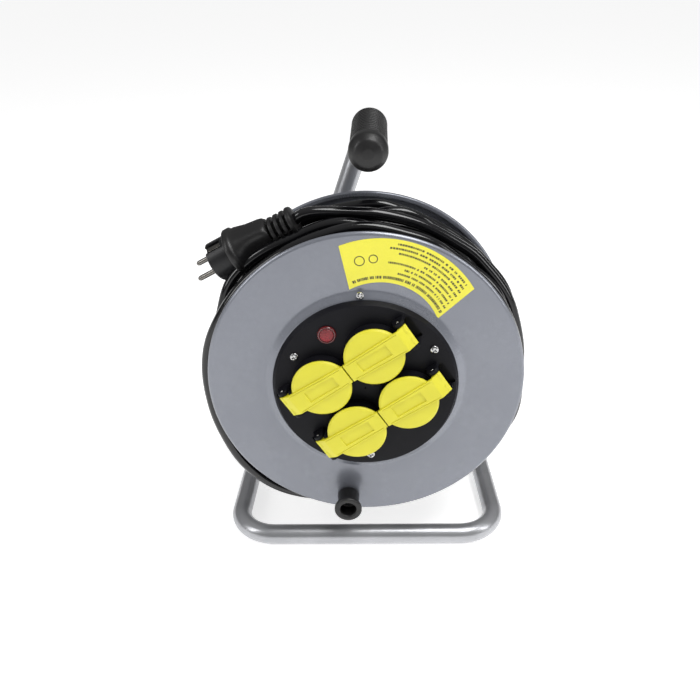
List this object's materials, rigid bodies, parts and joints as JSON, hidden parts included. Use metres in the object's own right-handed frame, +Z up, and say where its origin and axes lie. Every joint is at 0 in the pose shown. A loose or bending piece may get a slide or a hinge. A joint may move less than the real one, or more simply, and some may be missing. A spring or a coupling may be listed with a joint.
{
  "type": "extension cord reel",
  "caption": "Extension cord reel: steel cable drum with a covered socket panel, crank knob and rubber cable, on a bent-tube stand with a grip.",
  "frame": {"origin": "floor point under the middle of the reel's bounding box, measured without the cable and plug", "axes": "+X to the right of someone facing the sockets, +Y from the sockets towards the stand's uprights, +Z up"},
  "size_m": [0.3008, 0.2019, 0.414],
  "materials": {
    "silver_tube_paint": "semi-gloss metallic",
    "grey_flange_paint": "semi-gloss",
    "zinc_plate": "bright",
    "brass": "bright",
    "nickel_plate": "bright",
    "black_plastic": "satin",
    "black_rubber": "matte",
    "cable_pvc": "gloss",
    "yellow_plastic": "satin",
    "red_plastic": "gloss"
  },
  "bodies": {
    "stand": {"stand_tube": "silver_tube_paint", "tube_end_cap": "black_plastic", "hub_plate": "silver_tube_paint", "axle": "zinc_plate", "axle_clip": "zinc_plate", "front_washer": "zinc_plate", "thrust_washer": "zinc_plate", "axle_spacer": "zinc_plate", "nut_washer": "zinc_plate", "axle_nut": "zinc_plate", "handle_grip": "black_rubber"},
    "drum": {"front_flange": "grey_flange_paint", "rear_flange": "grey_flange_paint", "drum_core": "zinc_plate", "entry_grommet": "black_rubber", "hub_sleeve": "black_plastic", "sleeve_lock_ring": "zinc_plate", "socket_panel": "black_plastic", "socket_cup_left": "black_plastic", "socket_cup_top": "black_plastic", "socket_cup_right": "black_plastic", "socket_cup_bottom": "black_plastic", "earth_clip_left": "nickel_plate", "earth_clip_top": "nickel_plate", "earth_clip_right": "nickel_plate", "earth_clip_bottom": "nickel_plate", "live_rail": "brass", "neutral_rail": "brass", "panel_back_cover": "black_plastic", "hinge_pin_left": "nickel_plate", "hinge_pin_top": "nickel_plate", "hinge_pin_right": "nickel_plate", "hinge_pin_bottom": "nickel_plate", "lid_spring_left": "nickel_plate", "lid_spring_top": "nickel_plate", "lid_spring_right": "nickel_plate", "lid_spring_bottom": "nickel_plate", "cutout_bezel": "red_plastic", "cutout_body": "black_plastic", "panel_screw_1": "zinc_plate", "panel_screw_2": "zinc_plate", "panel_screw_3": "zinc_plate", "earth_screw": "zinc_plate", "rating_label": "yellow_plastic", "knob_rivet": "zinc_plate", "cable_winding": "cable_pvc", "cable_lead": "cable_pvc", "plug_insert": "black_plastic", "plug_body": "black_rubber", "strain_relief": "black_rubber", "plug_pin_1": "nickel_plate", "plug_pin_2": "nickel_plate", "plug_earth_1": "nickel_plate", "plug_earth_2": "nickel_plate"},
    "lid_left": {"lid_left": "yellow_plastic"},
    "lid_top": {"lid_top": "yellow_plastic"},
    "lid_right": {"lid_right": "yellow_plastic"},
    "lid_bottom": {"lid_bottom": "yellow_plastic"},
    "knob": {"crank_knob": "black_plastic"},
    "reset_button": {"reset_button": "red_plastic"}
  },
  "joints": [
    {"name": "drum_spin", "type": "hinge", "parent": "stand", "child": "drum", "pos_m": [0, -0.0141, 0.191], "axis": [0, 1, 0], "continuous": true},
    {"name": "knob_spin", "type": "hinge", "parent": "drum", "child": "knob", "pos_m": [-0.0178, -0.0841, 0.0635], "axis": [0, 1, 0], "continuous": true},
    {"name": "lid_hinge_left", "type": "hinge", "parent": "drum", "child": "lid_left", "pos_m": [-0.06677, -0.0927, 0.18064], "axis": [0.549, 0, -0.8358], "range_deg": [0, 100], "stiffness_Nm_per_rad": 0.01, "springref_deg": -34.38},
    {"name": "lid_hinge_top", "type": "hinge", "parent": "drum", "child": "lid_top", "pos_m": [0.03603, -0.0927, 0.24817], "axis": [-0.549, 0, 0.8358], "range_deg": [0, 100], "stiffness_Nm_per_rad": 0.01, "springref_deg": -34.38},
    {"name": "lid_hinge_right", "type": "hinge", "parent": "drum", "child": "lid_right", "pos_m": [0.06677, -0.0927, 0.20136], "axis": [-0.549, 0, 0.8358], "range_deg": [0, 100], "stiffness_Nm_per_rad": 0.01, "springref_deg": -34.38},
    {"name": "lid_hinge_bottom", "type": "hinge", "parent": "drum", "child": "lid_bottom", "pos_m": [-0.03603, -0.0927, 0.13383], "axis": [0.549, 0, -0.8358], "range_deg": [0, 100], "stiffness_Nm_per_rad": 0.01, "springref_deg": -34.38},
    {"name": "reset_press", "type": "slide", "parent": "drum", "child": "reset_button", "axis": [0, 1, 0], "range_m": [0, 0.002], "stiffness_N_per_m": 400, "springref_m": -0.002}
  ]
}
